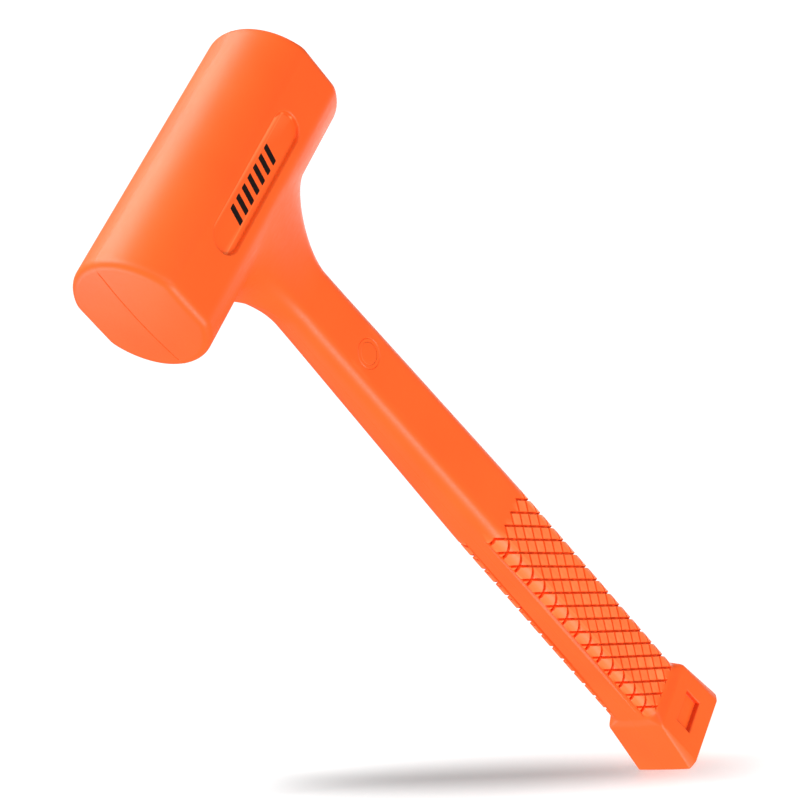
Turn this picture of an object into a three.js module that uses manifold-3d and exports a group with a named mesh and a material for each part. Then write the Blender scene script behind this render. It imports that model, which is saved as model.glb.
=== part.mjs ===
// Dead blow mallet: an orange moulded body, cast over a steel canister that holds loose shot
// and a steel core rod that reinforces the handle.
//
// Millimetres, +Z up. The origin is the centre of the flat butt end of the handle.
// +Z runs up the handle to the head, +X runs along the head, and Y runs from flat side to flat side.
// The body is symmetric about the plane y = 0, where its mould parts.

import * as THREE from 'three';
import { mergeVertices } from 'three/addons/utils/BufferGeometryUtils.js';
import Module from 'manifold-3d';

const wasm = await Module();
wasm.setup();

// ---------------------------------------------------------------- driving dimensions

const GAP = 0.3; // air between pieces that rest on each other

const HEAD = {
  diameter: 50.8, // barrel and striking faces, 2 inches
  length: 116, // between the rims of the two striking faces
  width: 47, // across the two side flats
  axisZ: 327.5, // height of the barrel's axis above the butt end
  edgeRadius: 3,
  edgeSteps: 3,
  crownHeight: 1.2, // how far the middle of a striking face stands out from its rim
  crownFlatRadius: 9, // the flat middle of a crowned face
  crownSteps: 3,
  arcSteps: 28,
};

const LABEL = { length: 64, height: 12.6, depth: 1.4, arcSteps: 10 }; // sunk panel on each flat

const HANDLE = {
  cornerRadius: 4.4,
  cornerSteps: 3,
  // half width along X and half thickness along Y, at stations up the handle
  stations: [
    { z: 18.5, halfX: 14.1, halfY: 11.3 },
    { z: 147.5, halfX: 13.8, halfY: 10.5 },
    { z: 212.5, halfX: 13.1, halfY: 9 },
    { z: 272.5, halfX: 12.5, halfY: 7.6 },
  ],
};

const NECK = { radiusX: 30, radiusY: 26, reachY: 20.8, topZ: 308.5, steps: 7 }; // fillets to the barrel

const GRIP = {
  topZ: 147.5, // peaks of the zigzag edge at the top of the pads
  rows: 14,
  pitchZ: 8.55, // height of one diamond pad
  pitchX: 6.84, // width of one diamond pad
  grooveWidth: 1.2,
  grooveDepth: 1,
  fadeDepth: 3.1, // how far below the broad side a groove's floor is where it runs out
  clearance: 1.2, // height above the skin up to which a groove's cutter reaches
};

const BUTT = {
  topZ: 26.4, // crisp top edge of the block's broad sides
  ledgeZ: 29, // where the sloping ledge meets the handle
  halfXTop: 15,
  halfYTop: 14.3,
  halfXEnd: 18.8,
  halfYEnd: 14.7,
  cornerRadius: 3.4,
  endChamfer: 1.2,
  recess: { halfX: 7.2, lowZ: 9.7, highZ: 19.1, depth: 2, draft: 0.7 },
};

const CANISTER = { outerRadius: 19, wall: 2, length: 96, capThickness: 2.5, capInset: 0.6 };
const CORE = { rodRadius: 4.75, bottomZ: 11, topInset: 2 }; // 3/8 inch bar
const SOCKET = { outerRadius: 7.95, bottomZ: 290.5 };
const WELD = { outerRadius: 11.2, height: 9 };
const PIN = { radius: 1.5, length: 15, z: 296.5 };
const ANCHOR = { outerRadius: 8.6, bottomZ: 14, thickness: 4 };
const LOCATOR = { radius: 4.2, z: 241 };

const SHOT = {
  layers: 8,
  travel: 10, // free travel of the charge to each side
  fillHeight: 9.4, // level of the charge above the canister's axis
  solidShare: 0.62, // share of the charge's volume that is steel, as loose balls pack
};

const ROUND = 48; // sides of the canister and of its caps
const SMALL_ROUND = 24; // sides of the rod, the socket and the other small round pieces

// ---------------------------------------------------------------- materials

const orange = new THREE.MeshStandardMaterial({ color: 0xff5a1c, roughness: 0.42, metalness: 0 });
const steel = new THREE.MeshStandardMaterial({ color: 0x9a9c9f, roughness: 0.38, metalness: 0.9 });
const darkSteel = new THREE.MeshStandardMaterial({ color: 0x6b6e72, roughness: 0.5, metalness: 0.9 });
const shotSteel = new THREE.MeshStandardMaterial({ color: 0xb4b6b8, roughness: 0.3, metalness: 0.95 });

// ---------------------------------------------------------------- solids and booleans

function toSolid(geometry) {
  geometry.deleteAttribute('normal');
  geometry.deleteAttribute('uv');
  const merged = mergeVertices(geometry, 1e-4);
  return new wasm.Manifold(
    new wasm.Mesh({
      numProp: 3,
      vertProperties: new Float32Array(merged.attributes.position.array),
      triVerts: new Uint32Array(merged.index.array),
    }),
  );
}

function toGeometry(solid) {
  const mesh = solid.getMesh();
  const geometry = new THREE.BufferGeometry();
  geometry.setAttribute('position', new THREE.BufferAttribute(mesh.vertProperties, 3));
  geometry.setIndex(new THREE.BufferAttribute(mesh.triVerts, 1));
  geometry.computeVertexNormals();
  return geometry;
}

function joined(solids) {
  return solids.reduce((all, next) => all.add(next));
}

function box(low, high) {
  const size = new THREE.Vector3().subVectors(high, low);
  const geometry = new THREE.BoxGeometry(size.x, size.y, size.z);
  geometry.translate((low.x + high.x) / 2, (low.y + high.y) / 2, (low.z + high.z) / 2);
  return toSolid(geometry);
}

// A round bar along X at height z, centred on x = middleX.
function barAlongX(radius, length, z, sides, middleX = 0) {
  const geometry = new THREE.CylinderGeometry(radius, radius, length, sides);
  geometry.rotateZ(Math.PI / 2);
  geometry.translate(middleX, 0, z);
  return toSolid(geometry);
}

// A solid turned about the Z axis. The profile is a list of [radius, z].
function turned(profile, sides) {
  const points = profile.map(([radius, z]) => new THREE.Vector2(radius, z));
  const geometry = new THREE.LatheGeometry(points, sides);
  geometry.rotateX(Math.PI / 2);
  return toSolid(geometry);
}

function ringProfile(innerRadius, outerRadius, lowZ, highZ) {
  return [
    [innerRadius, lowZ],
    [outerRadius, lowZ],
    [outerRadius, highZ],
    [innerRadius, highZ],
    [innerRadius, lowZ],
  ];
}

function barProfile(radius, lowZ, highZ) {
  return [
    [0, lowZ],
    [radius, lowZ],
    [radius, highZ],
    [0, highZ],
  ];
}

// A closed skin through rings with equal numbers of points, with a fan over each end ring.
function loft(rings) {
  const count = rings[0].length;
  const vertices = rings.flat();
  const faces = [];
  for (let ring = 0; ring + 1 < rings.length; ring += 1) {
    for (let i = 0; i < count; i += 1) {
      const a = ring * count + i;
      const b = ring * count + ((i + 1) % count);
      faces.push(a, b, b + count, a, b + count, a + count);
    }
  }
  const last = (rings.length - 1) * count;
  for (let i = 1; i + 1 < count; i += 1) {
    faces.push(0, i + 1, i);
    faces.push(last, last + i, last + i + 1);
  }
  const geometry = new THREE.BufferGeometry();
  geometry.setAttribute('position', new THREE.Float32BufferAttribute(vertices.flatMap((v) => v.toArray()), 3));
  geometry.setIndex(faces);
  return toSolid(geometry);
}

// A rectangle with rounded corners at height z, counter-clockwise from the +X side.
function roundedRing(halfX, halfY, radius, z, steps) {
  const corners = [
    [halfX - radius, halfY - radius],
    [radius - halfX, halfY - radius],
    [radius - halfX, radius - halfY],
    [halfX - radius, radius - halfY],
  ];
  return corners.flatMap(([x, y], corner) => {
    const points = [];
    for (let step = 0; step <= steps; step += 1) {
      const angle = ((corner + step / steps) * Math.PI) / 2;
      points.push(new THREE.Vector3(x + radius * Math.cos(angle), y + radius * Math.sin(angle), z));
    }
    return points;
  });
}

// ---------------------------------------------------------------- outside of the moulded body

// The barrel's section, shrunk by inset all round, at a place along X. It goes from flat to flat over
// the top, then back under the barrel.
function barrelRing(inset, x) {
  const radius = HEAD.diameter / 2 - inset;
  const flatAngle = Math.acos((HEAD.width / 2 - inset) / radius);
  return [0, Math.PI].flatMap((start) => {
    const points = [];
    for (let step = 0; step <= HEAD.arcSteps; step += 1) {
      const angle = THREE.MathUtils.lerp(start + flatAngle, start + Math.PI - flatAngle, step / HEAD.arcSteps);
      points.push(new THREE.Vector3(x, radius * Math.cos(angle), HEAD.axisZ + radius * Math.sin(angle)));
    }
    return points;
  });
}

// From the middle of a striking face outwards: [inset of the section, distance from the middle of the head].
function headEndProfile() {
  const { diameter, length, edgeRadius, edgeSteps, crownHeight, crownFlatRadius, crownSteps } = HEAD;
  const rimRadius = diameter / 2 - edgeRadius;
  const profile = [];
  for (let step = 0; step < crownSteps; step += 1) {
    const radius = THREE.MathUtils.lerp(crownFlatRadius, rimRadius, step / crownSteps);
    const rise = (rimRadius ** 2 - radius ** 2) / (rimRadius ** 2 - crownFlatRadius ** 2);
    profile.push([diameter / 2 - radius, length / 2 + crownHeight * rise]);
  }
  for (let step = 0; step <= edgeSteps; step += 1) {
    const angle = (step / edgeSteps) * (Math.PI / 2);
    const inset = edgeRadius * (1 - Math.sin(angle));
    profile.push([inset, length / 2 - edgeRadius * (1 - Math.cos(angle))]);
  }
  return profile;
}

// The barrel: a cylinder along X with two side flats, rounded end edges and slightly crowned faces.
function headSolid() {
  const front = headEndProfile().map(([inset, x]) => barrelRing(inset, x));
  const rear = headEndProfile().map(([inset, x]) => barrelRing(inset, -x));
  return loft([...rear, ...front.reverse()]);
}

// Half width and half thickness of the handle at a height between its stations.
function handleSizeAt(z) {
  const { stations } = HANDLE;
  const above = stations.findIndex((station, i) => i > 0 && z <= station.z);
  const high = stations[above < 0 ? stations.length - 1 : above];
  const low = stations[stations.indexOf(high) - 1];
  const share = (z - low.z) / (high.z - low.z);
  return {
    halfX: THREE.MathUtils.lerp(low.halfX, high.halfX, share),
    halfY: THREE.MathUtils.lerp(low.halfY, high.halfY, share),
  };
}

// How far a fillet of a given radius has moved out, at a given distance from its end.
function filletRise(radius, distance) {
  const reach = Math.min(distance, radius);
  return radius - Math.sqrt(radius * radius - reach * reach);
}

function handleSolid() {
  const { cornerRadius, cornerSteps, stations } = HANDLE;
  const rings = stations.map(({ z, halfX, halfY }) => roundedRing(halfX, halfY, cornerRadius, z, cornerSteps));
  const { z: startZ, halfX: startX, halfY: startY } = stations.at(-1);
  for (let step = 1; step <= NECK.steps; step += 1) {
    const distance = ((NECK.topZ - startZ) * step) / NECK.steps;
    const riseX = filletRise(NECK.radiusX, distance);
    const riseY = filletRise(NECK.radiusY, (distance / (NECK.topZ - startZ)) * NECK.reachY);
    const corner = cornerRadius + riseY;
    rings.push(roundedRing(startX + riseX, startY + riseY, corner, startZ + distance, cornerSteps));
  }
  return loft(rings);
}

function buttSolid() {
  const { cornerSteps } = HANDLE;
  const { halfX, halfY } = handleSizeAt(BUTT.ledgeZ);
  const corner = BUTT.cornerRadius;
  const taper = BUTT.endChamfer / BUTT.topZ;
  const chamferX = THREE.MathUtils.lerp(BUTT.halfXEnd, BUTT.halfXTop, taper);
  const chamferY = THREE.MathUtils.lerp(BUTT.halfYEnd, BUTT.halfYTop, taper);
  const endX = BUTT.halfXEnd - BUTT.endChamfer;
  const endY = BUTT.halfYEnd - BUTT.endChamfer;
  return loft([
    roundedRing(endX, endY, corner - BUTT.endChamfer, 0, cornerSteps),
    roundedRing(chamferX, chamferY, corner, BUTT.endChamfer, cornerSteps),
    roundedRing(BUTT.halfXTop, BUTT.halfYTop, corner, BUTT.topZ, cornerSteps),
    roundedRing(halfX, halfY, corner, BUTT.ledgeZ, cornerSteps),
  ]);
}

// ---------------------------------------------------------------- features cut into the outside

// The sunk panel on one side flat: a bar with round ends, along X.
function labelCutter(side) {
  const reach = LABEL.length / 2 - LABEL.height / 2;
  const radius = LABEL.height / 2;
  const outline = new THREE.Shape();
  outline.absarc(reach, 0, radius, -Math.PI / 2, Math.PI / 2, false);
  outline.absarc(-reach, 0, radius, Math.PI / 2, 1.5 * Math.PI, false);
  const geometry = new THREE.ExtrudeGeometry(outline, {
    depth: 2 * LABEL.depth,
    curveSegments: LABEL.arcSteps,
    bevelEnabled: false,
  });
  geometry.rotateX(Math.PI / 2);
  geometry.translate(0, side * (HEAD.width / 2) + LABEL.depth, HEAD.axisZ);
  return toSolid(geometry);
}

// The sunk rectangle on one broad side of the butt block, with sloping walls.
function buttRecessCutter(side) {
  const { halfX, lowZ, highZ, depth, draft } = BUTT.recess;
  const middleZ = (lowZ + highZ) / 2;
  const halfZ = (highZ - lowZ) / 2;
  const floorY = BUTT.halfYTop - depth;
  const mouthY = BUTT.halfYEnd + depth;
  const slope = draft / depth;
  const ring = (grow, y) => {
    const x = halfX + grow;
    const z = halfZ + grow;
    const corners = [
      [-x, -z],
      [x, -z],
      [x, z],
      [-x, z],
    ];
    const turn = side > 0 ? corners.reverse() : corners;
    return turn.map(([cx, cz]) => new THREE.Vector3(cx, side * y, middleZ + cz));
  };
  return loft([ring((mouthY - BUTT.halfYTop) * slope, mouthY), ring(-draft, floorY)].reverse());
}

// One straight groove of V section across a broad side. It starts at the top of the grip over
// x = startX, leans towards lean (-1 or +1) as it goes down, and runs out on the rounded corners.
function grooveCutter(startX, lean, side) {
  const slope = GRIP.pitchZ / GRIP.pitchX;
  const zAt = (x) => GRIP.topZ - slope * lean * (x - startX);
  const endX = startX + lean * GRIP.rows * GRIP.pitchX;
  const { halfX } = handleSizeAt(GRIP.topZ);
  const low = Math.max(Math.min(startX, endX), -halfX);
  const high = Math.min(Math.max(startX, endX), halfX);
  if (high - low < GRIP.pitchX / 4) {
    return null;
  }
  const flat = halfX - HANDLE.cornerRadius;
  const bends = [-flat, flat].filter((x) => x > low + GRIP.grooveWidth && x < high - GRIP.grooveWidth);
  const along = new THREE.Vector3(1, 0, -slope * lean).normalize();
  const rimHalfWidth = (GRIP.grooveWidth / 2) * (1 + GRIP.clearance / GRIP.grooveDepth);
  const rings = [low, ...bends, high].map((x) => {
    const atEdge = Math.abs(x) > flat + GRIP.grooveWidth;
    const normal = new THREE.Vector3(atEdge ? Math.sign(x) : 0, side, 0).normalize();
    const across = new THREE.Vector3().crossVectors(normal, along).normalize();
    const { halfY } = handleSizeAt(zAt(x));
    const share = Math.max(Math.abs(x) - flat, 0) / HANDLE.cornerRadius;
    const depth = THREE.MathUtils.lerp(GRIP.grooveDepth, GRIP.fadeDepth, share);
    const floor = new THREE.Vector3(x, side * (halfY - depth), zAt(x));
    const middle = floor.clone().addScaledVector(normal, GRIP.grooveDepth + GRIP.clearance);
    const rim = (sign) => middle.clone().addScaledVector(across, sign * rimHalfWidth);
    return [rim(1), rim(-1), floor];
  });
  return loft(rings);
}

function gripCutters(side) {
  const lines = GRIP.rows + 2;
  const cutters = [];
  for (const lean of [-1, 1]) {
    for (let line = -lines; line <= lines; line += 1) {
      cutters.push(grooveCutter(line * GRIP.pitchX, lean, side));
    }
  }
  return cutters.filter((cutter) => cutter !== null);
}

// ---------------------------------------------------------------- hollow that holds the steel insert

function insertCavity() {
  const canister = barAlongX(CANISTER.outerRadius + GAP, CANISTER.length + 2 * GAP, HEAD.axisZ, ROUND);
  const weldTop = HEAD.axisZ - CANISTER.outerRadius + WELD.height / 2;
  const weldBottom = weldTop - WELD.height;
  const shaft = turned(
    [
      [0, CORE.bottomZ - GAP],
      [CORE.rodRadius + GAP, CORE.bottomZ - GAP],
      [CORE.rodRadius + GAP, ANCHOR.bottomZ - GAP],
      [ANCHOR.outerRadius + GAP, ANCHOR.bottomZ - GAP],
      [ANCHOR.outerRadius + GAP, ANCHOR.bottomZ + ANCHOR.thickness + GAP],
      [CORE.rodRadius + GAP, ANCHOR.bottomZ + ANCHOR.thickness + GAP],
      [CORE.rodRadius + GAP, SOCKET.bottomZ - GAP],
      [SOCKET.outerRadius + GAP, SOCKET.bottomZ - GAP],
      [SOCKET.outerRadius + GAP, weldBottom - GAP],
      [WELD.outerRadius + GAP, weldTop],
      [0, weldTop],
    ],
    SMALL_ROUND,
  );
  return canister.add(shaft);
}

function locatorHole(side) {
  const radius = LOCATOR.radius + GAP;
  const depth = 2 * handleSizeAt(LOCATOR.z).halfY;
  const geometry = new THREE.CylinderGeometry(radius, radius, depth, SMALL_ROUND);
  geometry.translate(0, (side * depth) / 2, LOCATOR.z);
  return toSolid(geometry);
}

// ---------------------------------------------------------------- pieces

function mouldedShells() {
  const outside = joined([headSolid(), handleSolid(), buttSolid()]);
  const sides = [-1, 1];
  const cutters = sides.flatMap((side) => [
    labelCutter(side),
    buttRecessCutter(side),
    locatorHole(side),
    ...gripCutters(side),
  ]);
  const body = [insertCavity(), ...cutters].reduce((rest, cutter) => rest.subtract(cutter), outside);
  return sides.map((side) => {
    const low = new THREE.Vector3(-HEAD.length, side < 0 ? -HEAD.width : 0, -GAP);
    const high = new THREE.Vector3(HEAD.length, side < 0 ? 0 : HEAD.width, 2 * HEAD.axisZ);
    return body.intersect(box(low, high));
  });
}

function locatorPlug(side) {
  const inner = CORE.rodRadius + 2 * GAP;
  const outer = handleSizeAt(LOCATOR.z).halfY - 0.1;
  const geometry = new THREE.CylinderGeometry(LOCATOR.radius, LOCATOR.radius, outer - inner, SMALL_ROUND);
  geometry.translate(0, (side * (outer + inner)) / 2, LOCATOR.z);
  return toSolid(geometry);
}

function canisterTube() {
  const { outerRadius, wall, length } = CANISTER;
  const tube = barAlongX(outerRadius, length, HEAD.axisZ, ROUND);
  return tube.subtract(barAlongX(outerRadius - wall, length + 2, HEAD.axisZ, ROUND));
}

const capOuterX = CANISTER.length / 2 - CANISTER.capInset;
const capInnerX = capOuterX - CANISTER.capThickness;

function canisterCap(end) {
  const { outerRadius, wall, capThickness } = CANISTER;
  const middleX = (end * (capOuterX + capInnerX)) / 2;
  return barAlongX(outerRadius - wall - GAP, capThickness, HEAD.axisZ, ROUND, middleX);
}

// Everything that meets the canister from below is coped to its curve, one gap clear of it.
function copedToCanister(solid) {
  return solid.subtract(barAlongX(CANISTER.outerRadius + GAP, CANISTER.length, HEAD.axisZ, ROUND));
}

function coreSocket() {
  const bore = CORE.rodRadius + GAP;
  const tube = turned(ringProfile(bore, SOCKET.outerRadius, SOCKET.bottomZ, HEAD.axisZ - 10), SMALL_ROUND);
  const pinHole = barAlongX(PIN.radius + GAP, 4 * SOCKET.outerRadius, PIN.z, SMALL_ROUND);
  return copedToCanister(tube).subtract(pinHole);
}

function coreRod() {
  const topZ = HEAD.axisZ - CANISTER.outerRadius - CORE.topInset;
  const rod = turned(barProfile(CORE.rodRadius, CORE.bottomZ, topZ), SMALL_ROUND);
  return rod.subtract(barAlongX(PIN.radius + GAP, 4 * CORE.rodRadius, PIN.z, SMALL_ROUND));
}

function socketWeld() {
  const topZ = HEAD.axisZ - CANISTER.outerRadius + WELD.height / 2;
  const inner = SOCKET.outerRadius + GAP;
  const bead = turned(
    [
      [inner, topZ - WELD.height],
      [WELD.outerRadius, topZ],
      [inner, topZ],
      [inner, topZ - WELD.height],
    ],
    SMALL_ROUND,
  );
  return copedToCanister(bead);
}

function corePin() {
  return barAlongX(PIN.radius, PIN.length, PIN.z, SMALL_ROUND);
}

function anchorCollar() {
  const { outerRadius, bottomZ, thickness } = ANCHOR;
  return turned(ringProfile(CORE.rodRadius + GAP, outerRadius, bottomZ, bottomZ + thickness), SMALL_ROUND);
}

// The loose steel shot, as flat layers stacked up the canister's hollow. Each layer is as much
// thinner than its share of the charge as loose balls are emptier than solid steel.
function shotLayers() {
  const boreRadius = CANISTER.outerRadius - CANISTER.wall - GAP;
  const halfLength = capInnerX - SHOT.travel - GAP;
  const pitch = (boreRadius + SHOT.fillHeight) / SHOT.layers;
  const round = barAlongX(boreRadius, 2 * halfLength, HEAD.axisZ, ROUND);
  return Array.from({ length: SHOT.layers }, (_, layer) => {
    const middleZ = HEAD.axisZ - boreRadius + (layer + 0.5) * pitch;
    const halfThickness = (pitch * SHOT.solidShare) / 2;
    const low = new THREE.Vector3(-halfLength - 1, -boreRadius - 1, middleZ - halfThickness);
    const high = new THREE.Vector3(halfLength + 1, boreRadius + 1, middleZ + halfThickness);
    return round.intersect(box(low, high));
  });
}

// ---------------------------------------------------------------- assembly

const mallet = new THREE.Group();

function place(name, solid, material) {
  const mesh = new THREE.Mesh(toGeometry(solid), material);
  mesh.name = name;
  mallet.add(mesh);
}

const [leftShell, rightShell] = mouldedShells();
place('moulded_shell_left', leftShell, orange);
place('moulded_shell_right', rightShell, orange);
place('locator_plug_left', locatorPlug(-1), orange);
place('locator_plug_right', locatorPlug(1), orange);
place('canister_tube', canisterTube(), steel);
place('canister_cap_front', canisterCap(1), steel);
place('canister_cap_rear', canisterCap(-1), steel);
place('core_socket', coreSocket(), darkSteel);
place('core_socket_weld', socketWeld(), darkSteel);
place('core_rod', coreRod(), darkSteel);
place('core_pin', corePin(), steel);
place('core_anchor_collar', anchorCollar(), darkSteel);
shotLayers().forEach((layer, i) => {
  place(`shot_layer_${String(i + 1).padStart(2, '0')}`, layer, shotSteel);
});

export default mallet;
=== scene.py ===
# Dead blow mallet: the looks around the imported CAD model.
#
# The orange body is one mesh. Its outside is built for the half y <= 0, in millimetres, as patches that
# share their border points: the gripped handle, the ledge and the butt block, the barrel, the striking
# faces and the flared neck. The half is mirrored and welded. The steel insert keeps its CAD nodes, and
# the shot is a charge of loose balls that rides on the body "shot".

import math
import random

import bmesh
import bpy
import numpy as np
from mathutils import Matrix, Quaternion, Vector
from mathutils.geometry import delaunay_2d_cdt


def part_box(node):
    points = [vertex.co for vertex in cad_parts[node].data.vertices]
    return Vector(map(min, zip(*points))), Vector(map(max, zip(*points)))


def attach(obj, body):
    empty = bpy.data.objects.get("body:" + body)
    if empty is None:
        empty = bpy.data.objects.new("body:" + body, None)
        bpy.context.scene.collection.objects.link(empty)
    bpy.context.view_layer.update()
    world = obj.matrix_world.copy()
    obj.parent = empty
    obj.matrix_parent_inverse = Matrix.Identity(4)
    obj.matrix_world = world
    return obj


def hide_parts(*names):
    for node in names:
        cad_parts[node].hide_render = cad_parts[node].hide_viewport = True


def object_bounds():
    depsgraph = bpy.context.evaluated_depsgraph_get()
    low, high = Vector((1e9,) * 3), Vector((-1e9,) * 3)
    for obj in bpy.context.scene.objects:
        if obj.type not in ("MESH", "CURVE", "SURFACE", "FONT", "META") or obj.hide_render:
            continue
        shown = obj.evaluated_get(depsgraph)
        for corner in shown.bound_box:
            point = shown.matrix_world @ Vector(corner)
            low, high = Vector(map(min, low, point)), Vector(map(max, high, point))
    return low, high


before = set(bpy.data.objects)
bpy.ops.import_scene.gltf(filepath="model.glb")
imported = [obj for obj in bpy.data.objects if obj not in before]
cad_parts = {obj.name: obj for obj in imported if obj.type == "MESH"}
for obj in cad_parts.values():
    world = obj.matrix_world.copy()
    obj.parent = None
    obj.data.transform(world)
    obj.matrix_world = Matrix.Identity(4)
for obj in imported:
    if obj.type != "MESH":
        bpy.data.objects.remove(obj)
cad_low, cad_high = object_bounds()

MM = 0.001


def node_box(*nodes):
    """The lowest and the highest corner of CAD nodes together, in millimetres."""
    lows, highs = zip(*(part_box(node) for node in nodes))
    return np.min(lows, axis=0) / MM, np.max(highs, axis=0) / MM


# ---- driving dimensions, millimetres

CAD_REACH = np.array(cad_high) / MM
TUBE_LOW, TUBE_HIGH = node_box("canister_tube")
PLUG_LOW, PLUG_HIGH = node_box("locator_plug_left")

SEAM_OFFSETS = [0.0, 0.22, 0.44]  # distances from the parting line
SEAM_RISE = 0.07

HEAD_AXIS_Z = (TUBE_LOW[2] + TUBE_HIGH[2]) / 2
HEAD_RADIUS = CAD_REACH[2] - HEAD_AXIS_Z - SEAM_RISE
HEAD_HALF_WIDTH = CAD_REACH[1]  # from the middle to a side flat
FLAT_BLEND_RADIUS = 8.0  # soft edge between a side flat and the barrel
FACE_EDGE_RADIUS = 3.0
FACE_SEAM_RISE = 0.05
CROWN_HEIGHT = 1.15
CROWN_RADIUS = HEAD_RADIUS - FACE_EDGE_RADIUS
HEAD_HALF_LENGTH = CAD_REACH[0] - CROWN_HEIGHT - FACE_SEAM_RISE  # to the rim of a striking face
ARC_STEPS = 16  # from the barrel's top to the blend
BLEND_STEPS = 5
FACE_EDGE_STEPS = 7
EDGE_SUPPORT = 0.5  # from the barrel's edge to the row that keeps it crisp
SEAM_POINTS = 17  # along the parting line on a striking face
FACE_SUPPORTS = (-0.9, -2.0)  # y of the columns of dots beside that line
FACE_SUPPORT_MARGIN = 2
FACE_RINGS = (7, 12, 16, 19, 21.4)  # radii of the rings of dots on a striking face
FACE_RING_ANGLES = range(100, 265, 10)

LABEL_HALF_LENGTH = 32.0
LABEL_HALF_HEIGHT = 6.3
LABEL_STRAIGHT = LABEL_HALF_LENGTH - LABEL_HALF_HEIGHT  # to the middles of the panel's round ends
LABEL_END_STEPS = 18
# the sunk panel's wall: [distance outside its outline, depth]
LABEL_PROFILE = [
    (0.8, 0.0), (0.45, 0.0), (0.3, 0.05), (0.0, 0.35), (-0.12, 0.6), (-0.3, 1.3), (-0.4, 1.4), (-0.8, 1.4),
]

# half width along X and half thickness along Y at heights up the handle
HANDLE_HEIGHTS = [18.5, 147.5, 212.5, 272.5]
HANDLE_HALF_X = [14.4, 14.1, 13.4, 12.7]
HANDLE_HALF_Y = [11.9, 11.1, 9.5, 8.0]
HANDLE_CORNER_X = 4.7  # the corners are quarter ellipses
HANDLE_CORNER_Y = 6.6
HANDLE_LOW_Z = 31.0
HANDLE_HIGH_Z = 272.5
HANDLE_BEND = 14.0  # how far a bend at a station reaches up and down
BEND_SAMPLES = 9
HANDLE_ROWS = 19  # of the mesh, over the grip

GRIP_TOP_Z = 147.5
GRIP_ROWS = 14
GRIP_PITCH_Z = 8.55
GRIP_PITCH_X = 6.45
GRIP_DEPTH = 1.7
# the groove's section: [distance from its middle, share of its depth]
GROOVE_PROFILE = [(0.0, 1.0), (0.26, 0.97), (0.42, 0.1), (0.54, 0.0)]
GRIP_RUN_OUT = 0.15  # length over which a groove runs out at the narrow side
GRIP_LOW_RUN_OUT = 0.6  # the same at the handle's lower ring
GRIP_MARGIN = 1.4  # from the grip to the first row over it
LINE_MIN = 0.2  # shortest edge line of a groove, and its least height over the lower ring
LINE_STEP = 0.1  # least step along such a line
LINE_INSET = 0.03  # how far it stops short of the narrow side
LINE_BENDS = range(0, 80, 8)  # where it bends round a corner, degrees

BLOCK_TOP_Z = 26.4
BLOCK_CREASE_X = (15.0, 14.3)  # at the end face, and at the ledge
BLOCK_HALF_X = (18.9, 15.4)
BLOCK_HALF_Y = (14.7, 13.5)
BLOCK_CREASE_ANGLE = 22.0  # between a broad side and its bevel, degrees
BLOCK_SIDE_CROWN = 0.15  # how far the middle of a narrow side stands out
BLOCK_EDGE = 0.6  # rounding of the end face's edge
BLOCK_BRINK = 0.8  # rounding of the ledge's brink
BLOCK_ROWS = 9
BLOCK_EDGE_STEPS = 6
BLOCK_CORNER_SHARE = 0.45  # a bevel's curve reaches this share of its width and
BLOCK_CORNER_START = 0.5  # this length into the narrow side
CREASE_PULL = 0.6  # share of the end face's rounding by which a crease moves in
CREASE_SUPPORT = 0.3  # from a crease to the column that keeps it crisp
LEDGE_FILLET = 0.22  # share of the ledge that the fillet under the handle takes
LEDGE_BRINK = 0.25  # share that the rounded brink takes
LEDGE_STEPS = 4
LEDGE_TOP_Z = 30.0  # where the sloping ledge would meet the handle without its fillet
RECESS_HALF_X = 7.4
RECESS_LOW_Z = 9.5
RECESS_HIGH_Z = 19.3
# the sunk rectangle's wall: [distance inside its outline, depth]
RECESS_PROFILE = [
    (-0.7, 0.0), (-0.35, 0.0), (-0.2, 0.05), (0.1, 0.35), (0.2, 0.6), (0.4, 2.0), (0.5, 2.1), (0.9, 2.1),
]

NECK_REACH_X = 31.0  # half length of the neck's foot on the barrel
NECK_REACH_U = 27.5  # how far the foot climbs round the barrel, along its skin
NECK_POWER = 2.2
NECK_LOW_PULL = 0.36  # share of its height for which the flare keeps to the handle's direction
NECK_HIGH_PULL = 0.4  # share of its spread for which it keeps to the barrel's skin
NECK_ROWS = 26
NECK_CLEAR = 1.1  # where the barrel's columns end, as a multiple of the foot's size
NECK_SUPPORT = 1.05  # where a row of dots runs round the foot

LOCATOR_Z = (PLUG_LOW[2] + PLUG_HIGH[2]) / 2
LOCATOR_DISC = (PLUG_HIGH[2] - PLUG_LOW[2]) / 2
LOCATOR_HOLE = LOCATOR_DISC + 0.1
LOCATOR_END = -PLUG_HIGH[1]  # from the middle plane to the disc's inner end
LOCATOR_FLOOR = LOCATOR_END - 0.3
LOCATOR_SIDES = 48
LOCATOR_SUPPORTS = (0.0, 0.12, 0.6)  # circles of the mesh, from the hole's edge outward
HOLE_HAIR = 0.005  # how far inside the hole's polygon its triangles are cut away
LOCATOR_RING = LOCATOR_DISC + 1.5  # radius of the witness line round a disc
LOCATOR_RING_PROFILE = [(0.0, 0.25), (0.1, 0.22), (0.3, 0.0)]  # [distance from the line, depth]
RING_MARGIN = 0.6  # from the witness line to the handle's columns

# the parting line on a striking face: [distance from it, height]
FACE_SEAM_PROFILE = list(zip(SEAM_OFFSETS, (-0.9, FACE_SEAM_RISE, 0.0)))

CLEARANCE = 0.3  # between the body and the steel insert
SHAFT_SIDES = 48
CANISTER_SIDES = 72
SHAFT_OVERLAP = 2  # how far the shaft's hollow reaches into the canister's
SHARP_ANGLE = 32  # edges that turn more than this stay sharp, degrees
SIDES = ((-1, "left"), (1, "right"))  # the sign of y on each side
DISC_RIM = [(0.3, 0.0), (0.12, 0.02), (0.03, 0.08), (0.0, 0.2)]  # [inset from the disc's side, drop]

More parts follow.
